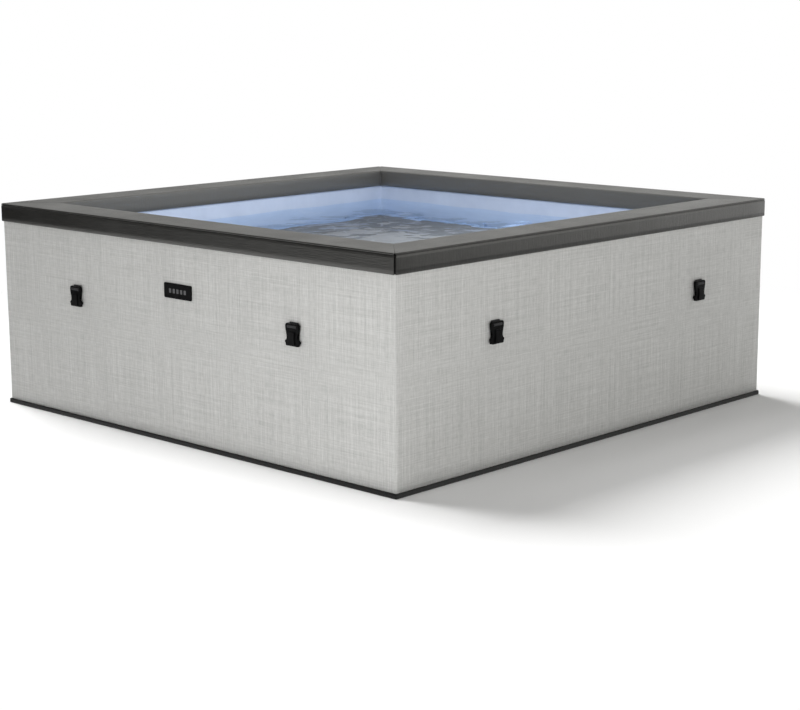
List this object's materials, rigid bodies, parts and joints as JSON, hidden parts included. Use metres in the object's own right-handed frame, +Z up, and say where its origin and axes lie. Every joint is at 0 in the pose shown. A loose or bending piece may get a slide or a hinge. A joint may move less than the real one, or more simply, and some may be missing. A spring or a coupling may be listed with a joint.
{
  "type": "hot tub",
  "caption": "Square above-ground hot tub with rigid foam walls, woven cladding, padded dark rim, blue liner, strap sockets and built-in heating, filter and air equipment.",
  "frame": {"origin": "middle of the underside", "axes": "+Z up; the front, with the badge, faces -Y; the equipment door faces +Y"},
  "size_m": [1.874, 1.874, 0.69],
  "materials": {
    "rim_vinyl": "satin",
    "woven_cladding": "matte",
    "wall_foam": "matte",
    "black_mat": "matte",
    "blue_liner": "satin",
    "grey_liner": "satin",
    "black_plastic": "satin",
    "dark_plastic": "satin",
    "pale_plastic": "satin",
    "webbing": "matte",
    "dark_lens": "gloss",
    "stainless": "satin",
    "rubber_hose": "matte",
    "filter_paper": "matte"
  },
  "bodies": {
    "tub": {"air_blower": "black_plastic", "air_hose": "rubber_hose", "air_ring": "pale_plastic", "circulation_pump": "black_plastic", "control_box": "black_plastic", "control_panel": "black_plastic", "display_lens": "dark_lens", "drain_valve": "black_plastic", "filter_cartridge": "filter_paper", "filter_housing": "pale_plastic", "floor_pad": "wall_foam", "front_badge": "black_plastic", "ground_mat": "black_mat", "heater_hose": "rubber_hose", "heater_tube": "stainless", "liner_floor": "grey_liner", "liner_walls": "blue_liner", "outer_cladding": "woven_cladding", "power_gland": "black_plastic", "pump_cover": "dark_plastic", "return_fitting": "pale_plastic", "return_hose": "rubber_hose", "rim_back": "rim_vinyl", "rim_front": "rim_vinyl", "rim_left": "rim_vinyl", "rim_right": "rim_vinyl", "suction_hose": "rubber_hose", "unit_housing": "dark_plastic", "wall_core_back": "wall_foam", "wall_core_front": "wall_foam", "wall_core_left": "wall_foam", "wall_core_right": "wall_foam"},
    "front_left_buckle": {"buckle_front_left": "black_plastic", "webbing_front_left": "webbing"},
    "front_right_buckle": {"buckle_front_right": "black_plastic", "webbing_front_right": "webbing"},
    "right_left_buckle": {"buckle_right_left": "black_plastic", "webbing_right_left": "webbing"},
    "right_right_buckle": {"buckle_right_right": "black_plastic", "webbing_right_right": "webbing"},
    "back_left_buckle": {"buckle_back_left": "black_plastic", "webbing_back_left": "webbing"},
    "back_right_buckle": {"buckle_back_right": "black_plastic", "webbing_back_right": "webbing"},
    "left_left_buckle": {"buckle_left_left": "black_plastic", "webbing_left_left": "webbing"},
    "left_right_buckle": {"buckle_left_right": "black_plastic", "webbing_left_right": "webbing"},
    "door": {"service_door": "dark_plastic"},
    "latch": {"door_latch": "black_plastic"},
    "power_key": {"power_button": "pale_plastic"},
    "heat_key": {"heat_button": "pale_plastic"},
    "bubbles_key": {"bubbles_button": "pale_plastic"},
    "warmer_key": {"warmer_button": "pale_plastic"},
    "cooler_key": {"cooler_button": "pale_plastic"},
    "impeller": {"pump_impeller": "pale_plastic"},
    "fan": {"blower_fan": "pale_plastic"},
    "cap_of_filter": {"filter_cap": "pale_plastic"},
    "nozzle": {"return_nozzle": "pale_plastic"},
    "drain_stopper": {"drain_cap": "black_plastic"}
  },
  "joints": [
    {"name": "front_left_buckle_swing", "type": "hinge", "parent": "tub", "child": "front_left_buckle", "pos_m": [-0.51, -0.9225, 0.4525], "axis": [-1, 0, 0], "range_deg": [0, 110]},
    {"name": "front_right_buckle_swing", "type": "hinge", "parent": "tub", "child": "front_right_buckle", "pos_m": [0.52, -0.9225, 0.4525], "axis": [-1, 0, 0], "range_deg": [0, 110]},
    {"name": "right_left_buckle_swing", "type": "hinge", "parent": "tub", "child": "right_left_buckle", "pos_m": [0.9225, -0.503, 0.4525], "axis": [0, -1, 0], "range_deg": [0, 110]},
    {"name": "right_right_buckle_swing", "type": "hinge", "parent": "tub", "child": "right_right_buckle", "pos_m": [0.9225, 0.53, 0.4525], "axis": [0, -1, 0], "range_deg": [0, 110]},
    {"name": "back_left_buckle_swing", "type": "hinge", "parent": "tub", "child": "back_left_buckle", "pos_m": [0.51, 0.9225, 0.4525], "axis": [1, 0, 0], "range_deg": [0, 110]},
    {"name": "back_right_buckle_swing", "type": "hinge", "parent": "tub", "child": "back_right_buckle", "pos_m": [-0.52, 0.9225, 0.4525], "axis": [1, 0, 0], "range_deg": [0, 110]},
    {"name": "left_left_buckle_swing", "type": "hinge", "parent": "tub", "child": "left_left_buckle", "pos_m": [-0.9225, 0.503, 0.4525], "axis": [0, 1, 0], "range_deg": [0, 110]},
    {"name": "left_right_buckle_swing", "type": "hinge", "parent": "tub", "child": "left_right_buckle", "pos_m": [-0.9225, -0.53, 0.4525], "axis": [0, 1, 0], "range_deg": [0, 110]},
    {"name": "service_door_hinge", "type": "hinge", "parent": "tub", "child": "door", "pos_m": [0.3145, 0.929, 0.351], "axis": [0, 0, -1], "range_deg": [0, 115]},
    {"name": "door_latch_turn", "type": "hinge", "parent": "door", "child": "latch", "pos_m": [-0.274, 0.9281, 0.33], "axis": [0, 1, 0], "range_deg": [0, 90]},
    {"name": "power_button_press", "type": "slide", "parent": "tub", "child": "power_key", "axis": [0, -1, 0], "range_m": [0, 0.0012], "stiffness_N_per_m": 300},
    {"name": "heat_button_press", "type": "slide", "parent": "tub", "child": "heat_key", "axis": [0, -1, 0], "range_m": [0, 0.0012], "stiffness_N_per_m": 300},
    {"name": "bubbles_button_press", "type": "slide", "parent": "tub", "child": "bubbles_key", "axis": [0, -1, 0], "range_m": [0, 0.0012], "stiffness_N_per_m": 300},
    {"name": "warmer_button_press", "type": "slide", "parent": "tub", "child": "warmer_key", "axis": [0, -1, 0], "range_m": [0, 0.0012], "stiffness_N_per_m": 300},
    {"name": "cooler_button_press", "type": "slide", "parent": "tub", "child": "cooler_key", "axis": [0, -1, 0], "range_m": [0, 0.0012], "stiffness_N_per_m": 300},
    {"name": "pump_impeller_spin", "type": "hinge", "parent": "tub", "child": "impeller", "pos_m": [0.113, 0.86, 0.165], "axis": [1, 0, 0], "continuous": true},
    {"name": "blower_fan_spin", "type": "hinge", "parent": "tub", "child": "fan", "pos_m": [-0.17, 0.86, 0.2], "axis": [0, 1, 0], "continuous": true},
    {"name": "filter_cap_turn", "type": "hinge", "parent": "tub", "child": "cap_of_filter", "pos_m": [-0.03, 0.71, 0.165], "axis": [0, 1, 0], "range_deg": [0, 60]},
    {"name": "return_nozzle_tilt", "type": "hinge", "parent": "tub", "child": "nozzle", "pos_m": [-0.03, 0.773, 0.3], "axis": [1, 0, 0], "range_deg": [-20, 20]},
    {"name": "drain_cap_turn", "type": "hinge", "parent": "tub", "child": "drain_stopper", "pos_m": [-0.93, 0.6, 0.1], "axis": [-1, 0, 0], "range_deg": [0, 270]}
  ]
}
